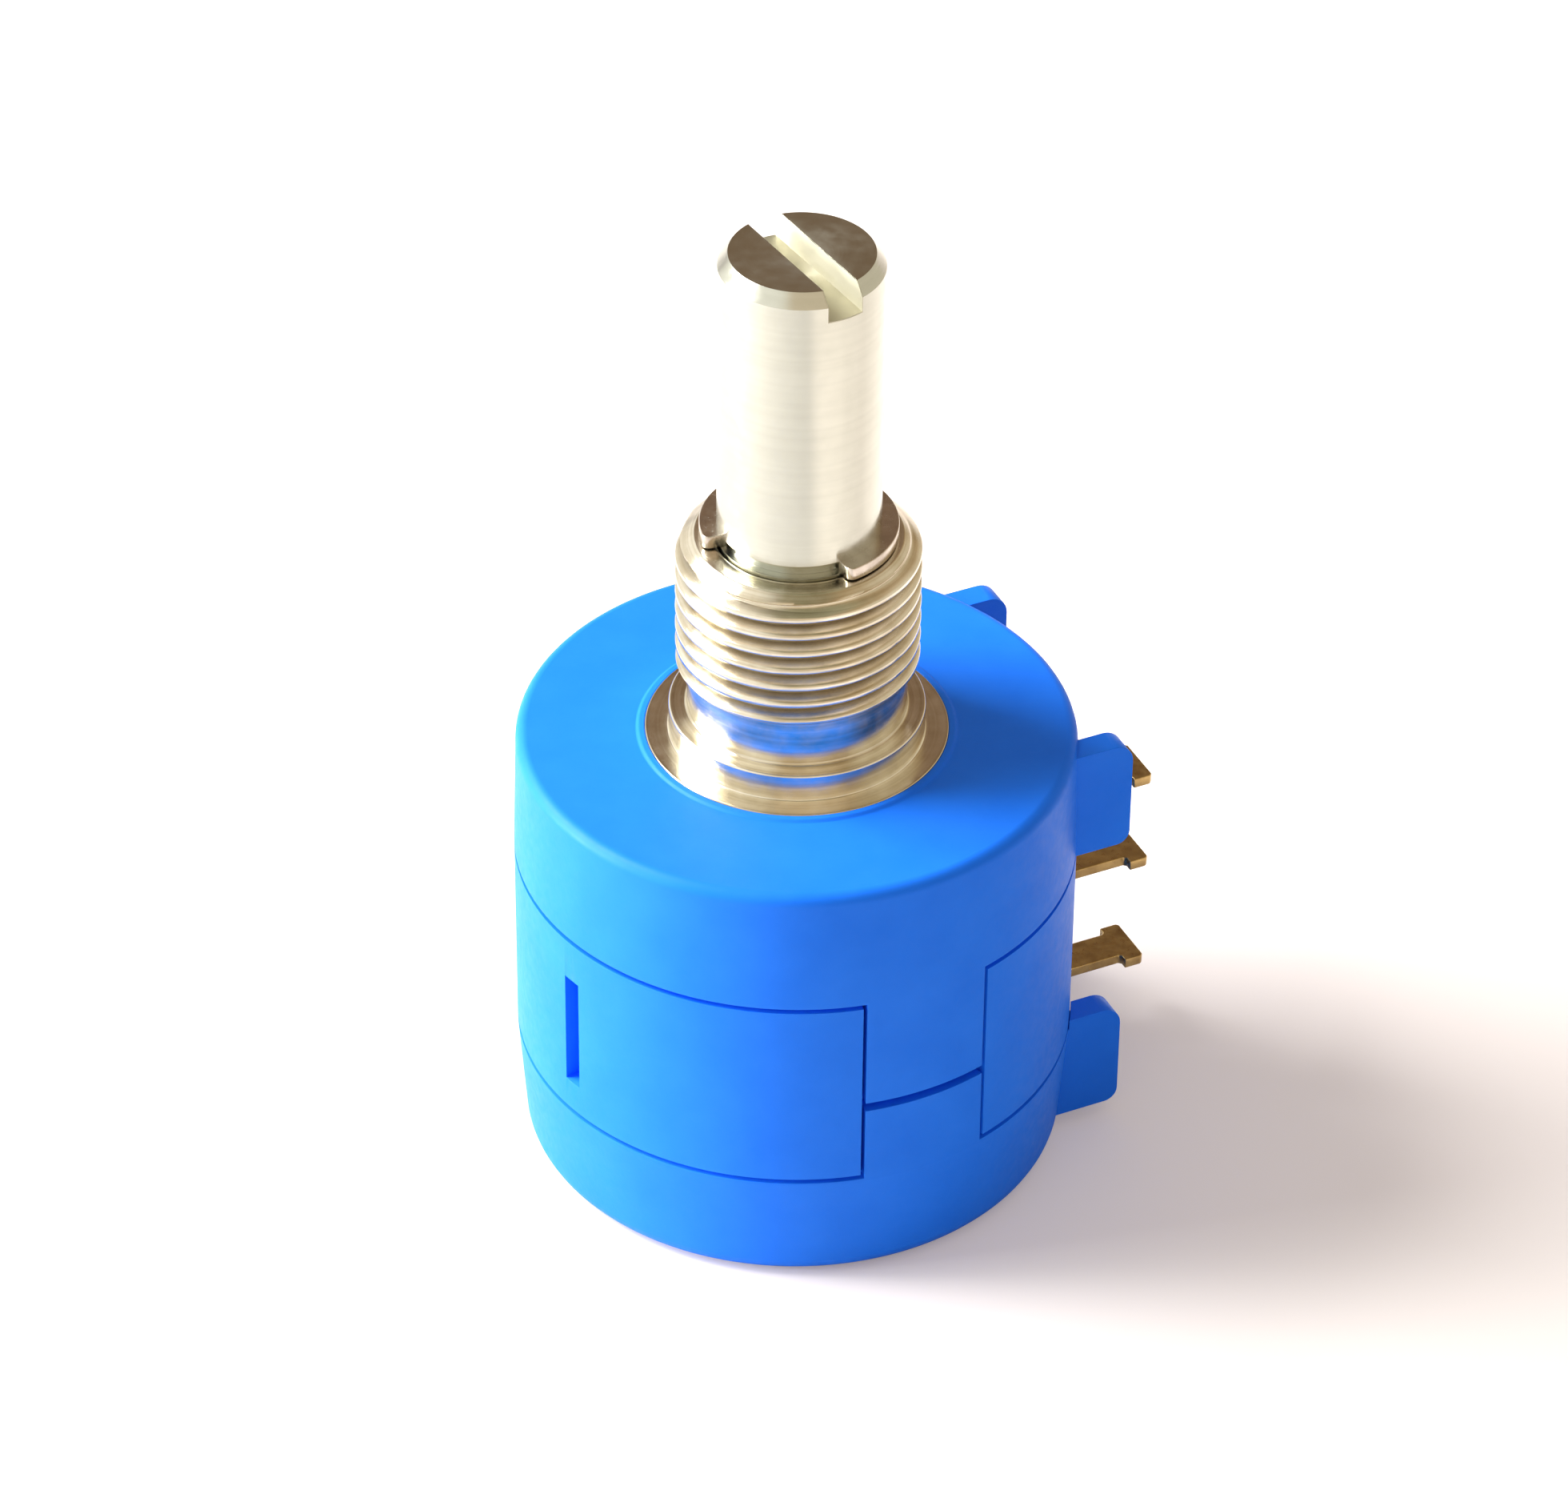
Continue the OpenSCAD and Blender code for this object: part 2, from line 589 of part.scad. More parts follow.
// The spring that joins the wiper's terminal to the slip ring: down the tube's wall,
// let into the floor and up to the ring
module collector_brush() color("goldenrod") {
    tip_in_r = slip_r - slip_w + slip_inset;
    bend_r = slip_r + brush_bend;
    rotate([0, 0, lug_az]) rotate([90, 0, 0]) translate([0, 0, -strip_w / 2])
        linear_extrude(strip_w) polygon([
            [tip_in_r, brush_top_z - strip_t], [tip_in_r, brush_top_z],
            [slip_r, brush_top_z], [bend_r, floor_t], [ribbon_r, floor_t],
            [ribbon_r, brush_riser_z], [groove_r, brush_riser_z],
            [groove_r, floor_t - strip_t], [bend_r, floor_t - strip_t],
            [slip_r, brush_top_z - strip_t]]);
}

module slip_ring() color("gold")
    ring(slip_r - slip_w, slip_r, rotor_bottom_z - slip_t, rotor_bottom_z);

module collector_rail() color("gold")
    radial_bar(rest_az, channel_floor_r - rail_t, channel_floor_r, rail_w,
        rotor_bottom_z, rotor_top_z);

// The wiper's web, which passes through the carriage from the rail to the element
module wiper_web()
    radial_bar(rest_az, channel_floor_r + contact_clear, crest_r - contact_clear, wiper_w,
        carriage_z - strip_t / 2, carriage_z + strip_t / 2);

module wiper_contact() color("gold") {
    foot_r = channel_floor_r + contact_clear;
    wiper_web();
    radial_bar(rest_az, foot_r, foot_r + strip_t, wiper_w,
        carriage_z - wiper_foot_h / 2, carriage_z + wiper_foot_h / 2);
}

// The carriage: a block in the rotor's channel, with two ribs that straddle one turn
module wiper_carriage() color("ivory") difference() {
    z0 = carriage_z - carriage_h / 2;
    z1 = carriage_z + carriage_h / 2;
    union() {
        intersection() {
            radial_bar(rest_az, carriage_back_r, crest_r, carriage_w, z0, z1);
            translate([0, 0, z0 - 1]) cylinder(r = carriage_face_r, h = carriage_h + 2);
        }
        for (side = [-1, 1]) {
            rib_z = carriage_z + side * pitch / 2;
            arc_wall(carriage_face_r - rib_root, rib_reach_r, rib_z - rib_t / 2, rib_z + rib_t / 2,
                rest_az - rib_half, rest_az + rib_half);
        }
    }
    wiper_web();
}

front_lid();
housing_band();
rear_lid();
bushing();
shaft();
retaining_ring();
rotor();
thrust_washer();
resistance_element();
front_element_clip();
rear_element_clip();
front_lead_ribbon();
rear_lead_ribbon();
front_terminal();
middle_terminal();
rear_terminal();
collector_brush();
slip_ring();
collector_rail();
wiper_carriage();
wiper_contact();
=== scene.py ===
# Looks of the ten-turn potentiometer. Sizes are in millimetres, in the frame's own axes:
# the rear face lies on Z = 0, the shaft runs up +Z, and the camera looks along +Y.
from math import ceil, cos, degrees, hypot, pi, radians, sin, tan

import bmesh
import bpy
from mathutils import Matrix, Vector

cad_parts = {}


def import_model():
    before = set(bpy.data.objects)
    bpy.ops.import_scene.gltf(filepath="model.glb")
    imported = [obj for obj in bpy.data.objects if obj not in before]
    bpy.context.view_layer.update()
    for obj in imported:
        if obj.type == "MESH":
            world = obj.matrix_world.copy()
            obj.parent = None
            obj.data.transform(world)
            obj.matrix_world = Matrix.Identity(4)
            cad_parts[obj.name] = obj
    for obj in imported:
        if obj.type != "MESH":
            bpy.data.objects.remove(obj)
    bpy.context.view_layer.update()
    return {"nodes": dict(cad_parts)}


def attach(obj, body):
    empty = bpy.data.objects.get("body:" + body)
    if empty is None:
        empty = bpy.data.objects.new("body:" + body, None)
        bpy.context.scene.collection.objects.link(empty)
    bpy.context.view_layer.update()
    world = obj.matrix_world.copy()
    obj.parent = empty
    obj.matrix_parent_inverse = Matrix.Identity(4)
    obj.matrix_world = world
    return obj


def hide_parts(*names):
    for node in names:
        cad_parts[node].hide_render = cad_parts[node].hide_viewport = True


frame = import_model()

MM = 0.001

# ---------------------------------------------------------------- camera and photograph
PHOTO_W = 1960
LENS_PX = 8154.6          # focal length in pixels of the photograph
SENSOR_MM = 36
CAMERA_MM = (-0.49, -205.42, 170.97)
PITCH = 0.641             # downward tilt in radians
ROLL = 0.010
CLIP_M = (0.01, 20)

# ---------------------------------------------------------------- sizes
BODY_R = 11.15
BODY_LEN = 19.05
REAR_SEAM = 5.13
FRONT_SEAM = 13.65
FRONT_DRAFT = 0.12
REAR_DRAFT = 0.3
RIM_ROUND = 0.45
BASE_ROUND = 0.9
FACE_T = 1.7
FLOOR_T = 1.7
SKIRT_R = 10.4            # inside of the lids
TUBE_R = 10.35            # outside of the tube in them
BORE_R = 9.7              # inside of the tube
SEAM_GAP = 0.1            # each piece stands back this far from a seam,
SEAM_DEPTH = 0.4          # down to this depth
EDGE = 0.045              # rounding of the small moulded edges
METAL_EDGE = 0.05         # and of turned and stamped ones
SHARP_BEND = 32           # edges that bend more than this, in degrees, are rounded
PAST = 1                  # how far a cutting shape reaches past what it cuts

TAB_AZ = -62              # direction of the two key tabs
TAB_SPAN = 28.3           # degrees that they take up
TAB_JOINT = 8.63          # height at which they meet
TAB_GAP = 0.38            # between their ends
TAB_SIDE_GAP = 0.15       # beside each
NOTCH_RELIEF = 0.05       # how far their notch reaches past the seams and into the tube

SLOT_AZ = -141.2
SLOT_W = 0.85
SLOT_BOTTOM = 6.6
SLOT_H = 5.15
SLOT_DEPTH = 0.8

FIN_SPACING = 11.0
FIN_T = 1.1
FIN_REACH = 0.6
FIN_GAP = 0.04            # where a rear fin passes the seam
FIN_TOP_ROUND = 0.85
FIN_LOW_ROUND = 0.55
FRONT_FIN = (13.82, 18.67)    # lower and upper end
REAR_FIN = (0.65, 5.45)

LUG_AZ = 25.5
LUG_T = 0.45
LUG_STEM_W = 1.5
LUG_HEAD_W = 2.3
LUG_HEAD_L = 0.85
LUG_ROOT_R = 9.95
LUG_TIP_R = BODY_R + 4.3
LUG_NICK = 0.12           # cut off the head's corners
LUG_FLARE = 0.1           # where the stem widens to the head
LUG_Z = {"rear_terminal": 3.1, "middle_terminal": 8.2, "front_terminal": 12.4}

MOUNT_Z = BODY_LEN + 1.27
FLANGE_R = 5.96
FLANGE_Z = BODY_LEN + 0.12
FLANGE_SEAT = 0.75
FLANGE_BEVEL = 0.06
COLLAR_W = 0.34           # the lid's collar round the flange
COLLAR_H = 0.1
COLLAR_FOOT = 0.02
COLLAR_NOSE = 0.03
BARREL_R = 4.6
BOSS_R = 5.03
BOSS_FILLET = 0.05
BOSS_ROUND = 0.08
NECK_R = 4.3
NECK_H = 2.0
NECK_FILLET = 0.12
RUN_OUT = 30              # slope of the lowest ridge's underside
THREAD_R = 4.7625
THREAD_PITCH = 25.4 / 32
THREAD_DEPTH = 0.46
THREAD_START = 22.68      # height of a ridge at the front
THREAD_MARGIN = 0.04      # between the threaded stretch and its neighbours
CREST_SHARE = 0.20        # of half a pitch: flat on top of a ridge
FLANK_SHARE = 0.70        # of half a pitch: its slope
FLANK_STRAIGHT = 0.45     # share of the depth that falls evenly, the rest being rounded
THREAD_SEGMENTS = 192
THREAD_ROWS = 18          # for each pitch
BUSHING_TOP = MOUNT_Z + 7.92
BUSHING_BORE = 3.215
MOUTH_ROUND = 0.2
BEVEL_R = 0.72
BEVEL_H = 0.55

SHAFT_R = 3.175
SHAFT_TOP = MOUNT_Z + 20.62
SHAFT_BEVEL = 0.39
SHAFT_BEVEL_H = 0.54
DRIVER_W = 1.45
DRIVER_H = 1.15
DRIVER_AZ = -58.3
ROTOR_TOP = 16.6
JOURNAL_R = 1.5
JOURNAL = (0.85, 3.3)     # lower and upper end
JOURNAL_BEVEL = 0.2
KEY_FLAT = SHAFT_R - 0.35     # from the axis to a flat inside the rotor
SHAFT_PAST = 5            # how far from the axis the shaft's cutting shapes reach,
FLAT_W = 8                # and how wide those of the flats are

BEARING_R = 1.54          # in the rear lid, for the journal
BEARING_BOSS_R = 2.54
BEARING_H = 0.75          # above the floor
BEARING_FLOOR = 0.75
BRUSH_CHANNEL_R = (4.3, BORE_R + 0.25)
BRUSH_CHANNEL_W = 1.1
BRUSH_CHANNEL_DEPTH = 0.2

RING_Z = BUSHING_TOP + 0.05
RING_T = 0.55
RING_SEAT_R = SHAFT_R - 0.37
RING_R = 3.85
RING_GAP_AZ = -110        # direction of the ring's opening
RING_GAP = 100            # degrees
RING_CORNER = 0.3

WASHER_T = 0.7
WASHER_R = 4.1
WASHER_FIT = 0.03         # room round the shaft
WASHER_EDGE = 0.04


# ---------------------------------------------------------------- mesh helpers
def new_object(name, verts, faces):
    """An object at the origin from points in millimetres."""
    mesh = bpy.data.meshes.new(name)
    mesh.from_pydata([Vector(v) * MM for v in verts], [], faces)
    mesh.validate()
    obj = bpy.data.objects.new(name, mesh)
    bpy.context.scene.collection.objects.link(obj)
    return obj


def remove(obj):
    """Deletes an object and its mesh."""
    mesh = obj.data
    bpy.data.objects.remove(obj)
    bpy.data.meshes.remove(mesh)


def arc(cx, cz, r, a0, a1, n=8):
    """Points on an arc, with its angles in degrees."""
    return [(cx + r * cos(radians(a0 + (a1 - a0) * i / n)),
             cz + r * sin(radians(a0 + (a1 - a0) * i / n))) for i in range(n + 1)]


def crisp(profile, reach=0.03):
    """Adds points near both ends of each long stretch, so that its shading stays flat and
    only the rounding beside it is shaded round."""
    points = []
    for (r0, z0), (r1, z1) in zip(profile, profile[1:] + profile[:1]):
        points.append((r0, z0))
        length = hypot(r1 - r0, z1 - z0)
        if length > 5 * reach and max(r0, r1) > 1e-6:
            for t in (reach / length, 1 - reach / length):
                points.append((r0 + (r1 - r0) * t, z0 + (z1 - z0) * t))
    return points


def revolve(name, profile, segments=256):
    """A solid turned about Z from a closed outline of (r, z) points, anticlockwise. Where the
    outline runs along the axis, flat faces close the solid."""
    open_run = profile[0][0] < 1e-6
    profile = crisp(profile)
    profile = [point for point in profile if point[0] > 1e-6]
    verts = [(r * cos(2 * pi * i / segments), r * sin(2 * pi * i / segments), z)
             for r, z in profile for i in range(segments)]
    rows = [list(range(k * segments, (k + 1) * segments)) for k in range(len(profile))]
    pairs = list(zip(rows, rows[1:] + ([] if open_run else rows[:1])))
    faces = [[a[i], a[(i + 1) % segments], b[(i + 1) % segments], b[i]]
             for a, b in pairs for i in range(segments)]
    if open_run:
        faces += [rows[0][::-1], rows[-1]]
    return outward(new_object(name, verts, faces))


def sector(name, profile, az0, az1, step=1.5):
    """A closed outline of (r, z) points swept from one angle to another."""
    n = max(2, ceil((az1 - az0) / step))
    verts = []
    for i in range(n + 1):
        a = radians(az0 + (az1 - az0) * i / n)
        verts += [(r * cos(a), r * sin(a), z) for r, z in profile]
    k = len(profile)
    faces = [list(range(k))[::-1], [n * k + j for j in range(k)]]
    for i in range(n):
        for j in range(k):
            m = (j + 1) % k
            faces.append([i * k + j, i * k + m, (i + 1) * k + m, (i + 1) * k + j])
    return outward(new_object(name, verts, faces))


def plate(name, outline, depth, matrix):
    """An outline of (x, y) points, thickened by depth along Z about its middle."""
    k = len(outline)
    verts = [matrix @ Vector((x, y, s * depth / 2)) for s in (-1, 1) for x, y in outline]
    faces = [list(range(k))[::-1], list(range(k, 2 * k))]
    faces += [[j, (j + 1) % k, k + (j + 1) % k, k + j] for j in range(k)]
    return outward(new_object(name, verts, faces))


def rectangle(x0, x1, width):
    return [(x0, -width / 2), (x1, -width / 2), (x1, width / 2), (x0, width / 2)]


def facing(az, z=0.0):
    """Turns what is drawn along +X to the direction az, at the height z."""
    return Matrix.Rotation(radians(az), 4, "Z") @ Matrix.Translation((0, 0, z))


def outward(obj):
    """Makes every face look out of the solid."""
    bm = bmesh.new()
    bm.from_mesh(obj.data)
    bmesh.ops.recalc_face_normals(bm, faces=bm.faces)
    bm.to_mesh(obj.data)
    bm.free()
    return obj


def bake(obj):
    """Replaces the object's mesh with the result of its modifiers."""
    result = bpy.data.meshes.new_from_object(
        obj.evaluated_get(bpy.context.evaluated_depsgraph_get()))
    old = obj.data
    obj.modifiers.clear()
    obj.data = result
    bpy.data.meshes.remove(old)
    return obj


def combine(obj, others, operation):
    """Joins or cuts an object with others, which are used up."""
    for other in others:
        mod = obj.modifiers.new(operation.lower(), "BOOLEAN")
        mod.operation = operation
        mod.solver = "EXACT"
        mod.object = other
        bpy.context.view_layer.update()
        bake(obj)
        remove(other)
    return obj


def cut(obj, *others):
    return combine(obj, others, "DIFFERENCE")


def join(obj, *others):
    return combine(obj, others, "UNION")


def soften(obj, width):
    """Rounds the sharp edges, and shades flat faces flat and curved ones smooth."""
    bm = bmesh.new()
    bm.from_mesh(obj.data)
    bmesh.ops.remove_doubles(bm, verts=bm.verts, dist=0.002 * MM)
    bmesh.ops.dissolve_degenerate(bm, edges=bm.edges, dist=0.001 * MM)
    bm.to_mesh(obj.data)
    bm.free()
    mod = obj.modifiers.new("edges", "BEVEL")
    mod.width = width * MM
    mod.segments = 2
    mod.limit_method = "ANGLE"
    mod.angle_limit = radians(SHARP_BEND)
    mod.use_clamp_overlap = True
    bpy.context.view_layer.update()
    bake(obj)
    return shade(obj)


def shade(obj, sharp=45):
    """Smooth shading that breaks at edges sharper than an angle, led by the large faces."""
    obj.data.shade_smooth()
    obj.data.set_sharp_from_angle(angle=radians(sharp))
    mod = obj.modifiers.new("normals", "WEIGHTED_NORMAL")
    mod.weight = 90
    mod.keep_sharp = True
    bpy.context.view_layer.update()
    return bake(obj)


def dress(obj, body, node, material):
    """Puts a finished piece on its body in place of the CAD node."""
    obj.data.materials.clear()
    obj.data.materials.append(material)
    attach(obj, body)
    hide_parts(node)
    return obj


# ---------------------------------------------------------------- material helpers
class Tree:
    """A node tree, with short ways to add nodes and link them."""

    def __init__(self, tree):
        self.tree = tree

    def add(self, kind, **settings):
        node = self.tree.nodes.new(kind)
        for key, value in settings.items():
            setattr(node, key, value)
        return node

    def link(self, value, socket):
        """Links an output to a socket, or sets the socket to a number or a colour."""
        if isinstance(value, (int, float)):
            socket.default_value = value
        elif isinstance(value, tuple):
            socket.default_value = (*value, 1)
        else:
            self.tree.links.new(value, socket)

    def math(self, operation, a, b=0.0):
        node = self.add("ShaderNodeMath", operation=operation)
        self.link(a, node.inputs[0])
        self.link(b, node.inputs[1])
        return node.outputs[0]

    def split(self, vector):
        """The x, y and z of a vector."""
        node = self.add("ShaderNodeSeparateXYZ")
        self.link(vector, node.inputs[0])
        return node.outputs

    def spread(self, factor, low, high, start=0.3, end=0.7, kind="LINEAR"):
        """Values from low to high as the factor goes from start to end."""
        node = self.add("ShaderNodeMapRange", interpolation_type=kind)
        for key, value in zip(("From Min", "From Max", "To Min", "To Max"),
                              (start, end, low, high)):
            node.inputs[key].default_value = value
        self.link(factor, node.inputs["Value"])
        return node.outputs["Result"]

    def rise(self, factor, start, end):
        """From 0 to 1, with soft ends, as the factor goes from start to end."""
        return self.spread(factor, 0, 1, start, end, "SMOOTHSTEP")

    def mix(self, share, below, above):
        """One colour over another, by its share."""
        node = self.add("ShaderNodeMix", data_type="RGBA")
        self.link(share, node.inputs["Factor"])
        self.link(below, node.inputs["A"])
        self.link(above, node.inputs["B"])
        return node.outputs["Result"]


class Nodes(Tree):
    """The tree of a new material, with its shader and its textures."""

    def __init__(self, name):
        self.material = bpy.data.materials.new(name)
        self.material.use_nodes = True
        super().__init__(self.material.node_tree)
        self.shader = self.tree.nodes["Principled BSDF"]
        self.position = self.add("ShaderNodeTexCoord").outputs["Object"]

    def noise(self, scale, detail=3.0, roughness=0.5, vector=None):
        node = self.add("ShaderNodeTexNoise")
        node.inputs["Scale"].default_value = scale
        node.inputs["Detail"].default_value = detail
        node.inputs["Roughness"].default_value = roughness
        self.link(vector or self.position, node.inputs["Vector"])
        return node.outputs["Fac"]

    def ramp(self, factor, low, high, start=0.3, end=0.7):
        """Colours from low to high as the factor goes from start to end."""
        node = self.add("ShaderNodeValToRGB")
        node.color_ramp.elements[0].position = start
        node.color_ramp.elements[1].position = end
        node.color_ramp.elements[0].color = (*low, 1)
        node.color_ramp.elements[1].color = (*high, 1)
        self.link(factor, node.inputs["Fac"])
        return node.outputs["Color"]

    def radius(self, x, y):
        """Distance from the axis."""
        return self.math("SQRT", self.math("ADD", self.math("MULTIPLY", x, x),
                                           self.math("MULTIPLY", y, y)))

    def turned(self, scale):
        """A point's distance from the axis and its height, so that noise of it runs in
        rings."""
        x, y, z = self.split(self.position)
        rings = self.add("ShaderNodeCombineXYZ")
        self.link(self.math("MULTIPLY", self.radius(x, y), scale), rings.inputs[0])
        self.link(self.math("MULTIPLY", z, scale), rings.inputs[1])
        return rings.outputs[0]

    def between(self, share, z, low_mm, high_mm):
        """A share that holds between two heights only."""
        share = self.math("MULTIPLY", share, self.math("GREATER_THAN", z, low_mm * MM))
        return self.math("MULTIPLY", share, self.math("LESS_THAN", z, high_mm * MM))

    def in_slot(self, azimuth, width_mm, low_mm, high_mm):
        """1 inside a slot across the axis, given its direction, width and two heights."""
        x, y, z = self.split(self.position)
        across = self.math("SUBTRACT", self.math("MULTIPLY", x, sin(radians(azimuth))),
                           self.math("MULTIPLY", y, cos(radians(azimuth))))
        inside = self.math("LESS_THAN", self.math("ABSOLUTE", across), width_mm / 2 * MM)
        return self.between(inside, z, low_mm, high_mm)

    def in_roots(self, root_mm, crest_mm, low_mm, high_mm):
        """From 1 at a thread's root radius to 0 near its crest, between two heights."""
        x, y, z = self.split(self.position)
        depth = self.spread(self.radius(x, y), 1, 0, root_mm * MM, crest_mm * MM)
        return self.between(depth, z, low_mm, high_mm)

    def bump(self, height, strength, depth_mm):
        node = self.add("ShaderNodeBump")
        node.inputs["Strength"].default_value = strength
        node.inputs["Distance"].default_value = depth_mm * MM
        self.link(height, node.inputs["Height"])
        self.tree.links.new(node.outputs["Normal"], self.shader.inputs["Normal"])

    def set(self, **values):
        for key, value in values.items():
            self.link(value, self.shader.inputs[key.replace("_", " ")])


BLUE_DEEP = (0.008, 0.170, 0.88)
BLUE_BRIGHT = (0.012, 0.188, 0.92)
MILLED = (0.50, 0.48, 0.38)      # the driver slot, under its plating
MILLED_ROUGH = 0.4               # how much duller it is than the turned faces
# painted shade and dirt: the colour that darkens the bottoms of the thread
ROOT_SHADE_AND_DIRT = (0.20, 0.16, 0.10)   # the bottoms of the thread
TOOL_RINGS = 3600                # noise scale of the rings that show
FINE_RINGS = 9000                # and of those that only draw a reflection out
RING_SHARE = 0.6                 # of the rings in the stains
WIRE_TURNS = 720.0               # windings in each turn of the helix


def body_plastic():
    """Blue moulded plastic: even colour, a faint cloud of flow marks, a fine satin grain."""
    m = Nodes("body_plastic")
    m.set(Base_Color=m.ramp(m.noise(420, detail=4), BLUE_DEEP, BLUE_BRIGHT),
          Roughness=m.spread(m.noise(2600, detail=2), 0.42, 0.52))
    m.shader.inputs["Specular IOR Level"].default_value = 0.15
    m.bump(m.noise(5200, detail=3), 0.3, 0.015)
    return m.material


def plated(name, light, dark, rough, line_depth, streak, milled=None, root_shade_and_dirt=None):
    """Bright plating over turned metal: rings left by the tool, which draw a reflection out
    across them, and faint stains. Where a milled slot is given, it is dull from the cutter,
    and where a thread is, its roots are coloured dark: painted shade, together with dirt."""
    m = Nodes(name)
    rings = m.noise(1.0, detail=2, vector=m.turned(TOOL_RINGS))
    stain = m.math("ADD", m.math("MULTIPLY", m.noise(700, detail=5), 1 - RING_SHARE),
                   m.math("MULTIPLY", rings, RING_SHARE))
    round_the_axis = m.add("ShaderNodeTangent", direction_type="RADIAL", axis="Z")
    colour = m.ramp(stain, dark, light, 0.35, 0.65)
    roughness = m.spread(m.noise(1800, detail=3), rough * 0.8, rough * 1.3)
    if milled:
        inside = m.in_slot(*milled)
        colour = m.mix(inside, colour, MILLED)
        roughness = m.math("ADD", roughness, m.math("MULTIPLY", inside, MILLED_ROUGH))
    # painted shade and dirt: the thread's roots are coloured dark
    if root_shade_and_dirt:
        colour = m.mix(m.in_roots(*root_shade_and_dirt), colour, ROOT_SHADE_AND_DIRT)
    m.set(Metallic=1.0, Base_Color=colour, Roughness=roughness,
          Anisotropic=streak, Anisotropic_Rotation=0.25, Tangent=round_the_axis.outputs[0])
    m.bump(m.noise(1.0, detail=4, vector=m.turned(FINE_RINGS)), 0.5, line_depth)
    return m.material


def stamped(name, light, dark, rough, scale=1500):
    """Thin stamped strip: rolled surface with small stains."""
    m = Nodes(name)
    m.set(Metallic=1.0, Base_Color=m.ramp(m.noise(scale, detail=6), dark, light, 0.3, 0.7),
          Roughness=m.spread(m.noise(scale * 3, detail=3), rough * 0.8, rough * 1.3))
    m.bump(m.noise(scale * 5, detail=3), 0.3, 0.01)
    return m.material


def nylon():
    """Pale moulded plastic that lets a little light in."""
    m = Nodes("inner_plastic")
    m.set(Base_Color=m.ramp(m.noise(500, detail=4), (0.70, 0.66, 0.55), (0.78, 0.75, 0.66)),
          Roughness=m.spread(m.noise(3000), 0.45, 0.6), Subsurface_Weight=0.08)
    m.shader.inputs["Subsurface Radius"].default_value = (0.0012, 0.0010, 0.0007)
    m.bump(m.noise(6000), 0.25, 0.012)
    return m.material


def winding():
    """Resistance wire wound close round a core that follows the helix."""
    m = Nodes("element_wire")
    x, y, _ = m.split(m.position)
    turns = m.math("SINE", m.math("MULTIPLY", m.math("ARCTAN2", y, x), WIRE_TURNS))
    m.set(Metallic=1.0,
          Base_Color=m.ramp(turns, (0.16, 0.10, 0.05), (0.62, 0.50, 0.34), -0.4, 0.6),
          Roughness=m.spread(m.noise(3000), 0.28, 0.42))
    m.bump(turns, 0.6, 0.03)
    return m.material


BLUE = body_plastic()
# the bushing's thread roots get painted shade and dirt
BUSHING_METAL = plated(
    "plated_bushing", (0.83, 0.79, 0.68), (0.52, 0.45, 0.32), rough=0.18,
    line_depth=0.0035, streak=0.75,
    root_shade_and_dirt=(THREAD_R - THREAD_DEPTH, THREAD_R - 0.12, MOUNT_Z + NECK_H + 0.15,
            BUSHING_TOP - BEVEL_H))
SHAFT_METAL = plated(
    "plated_shaft", (0.57, 0.575, 0.505), (0.53, 0.535, 0.465), rough=0.20,
    line_depth=0.004, streak=0.5,
    milled=(DRIVER_AZ, DRIVER_W + 0.05, SHAFT_TOP - DRIVER_H - 0.05, SHAFT_TOP - 0.03))
RING_STEEL = stamped("ring_steel", (0.66, 0.60, 0.53), (0.52, 0.46, 0.40), 0.22)
LUG_BRASS = stamped("lug_brass", (0.56, 0.40, 0.17), (0.34, 0.22, 0.09), 0.32)
LEAD_METAL = stamped("lead_metal", (0.74, 0.73, 0.70), (0.62, 0.60, 0.56), 0.25)
CONTACT_METAL = stamped("contact_metal", (0.86, 0.64, 0.30), (0.74, 0.52, 0.22), 0.22)


# ---------------------------------------------------------------- housing pieces
def drum(radius, low, high):
    return revolve("drum", [(0, low), (radius, low), (radius, high), (0, high)])


def fin(side, low, high):
    """A plate beside the terminals and parallel to them, with rounded outer corners, rooted
    in the skirt: side is 1 or -1."""
    end = BODY_R + FIN_REACH
    outline = [(BODY_R / 2, high), (BODY_R / 2, low)]
    outline += arc(end - FIN_LOW_ROUND, low + FIN_LOW_ROUND, FIN_LOW_ROUND, -90, 0)
    outline += arc(end - FIN_TOP_ROUND, high - FIN_TOP_ROUND, FIN_TOP_ROUND, 0, 90)
    stand = (facing(LUG_AZ) @ Matrix.Translation((0, side * FIN_SPACING / 2, 0))
             @ Matrix.Rotation(radians(90), 4, "X"))
    piece = plate("fin", outline, FIN_T, stand)
    root_r = SKIRT_R + (BODY_R - SKIRT_R) / 3
    return cut(piece, drum(root_r, -PAST, BODY_LEN + PAST))


def beside_tab(seam, side):
    """What leaves a lid's stepped seam and its tab: side is 1 for a tab that reaches up."""
    half = TAB_SPAN / 2 - degrees(TAB_SIDE_GAP / BODY_R)
    far = seam + side * BODY_LEN / 2
    step_r, step_z = BODY_R - SEAM_DEPTH, seam - side * SEAM_GAP
    return sector("beside_tab", [
        (SKIRT_R - PAST, seam), (SKIRT_R - PAST, far), (BODY_R + PAST, far),
        (BODY_R + PAST, step_z), (step_r, step_z), (step_r, seam)],
        TAB_AZ + half, TAB_AZ - half + 360)


def radial_bar(az, r0, r1, width, z0, z1):
    return plate("bar", rectangle(r0, r1, width), z1 - z0, facing(az, (z0 + z1) / 2))


def lug_slot(z):
    return radial_bar(LUG_AZ, BORE_R - PAST, BODY_R + PAST, LUG_STEM_W,
                      z - LUG_T / 2, z + LUG_T / 2)


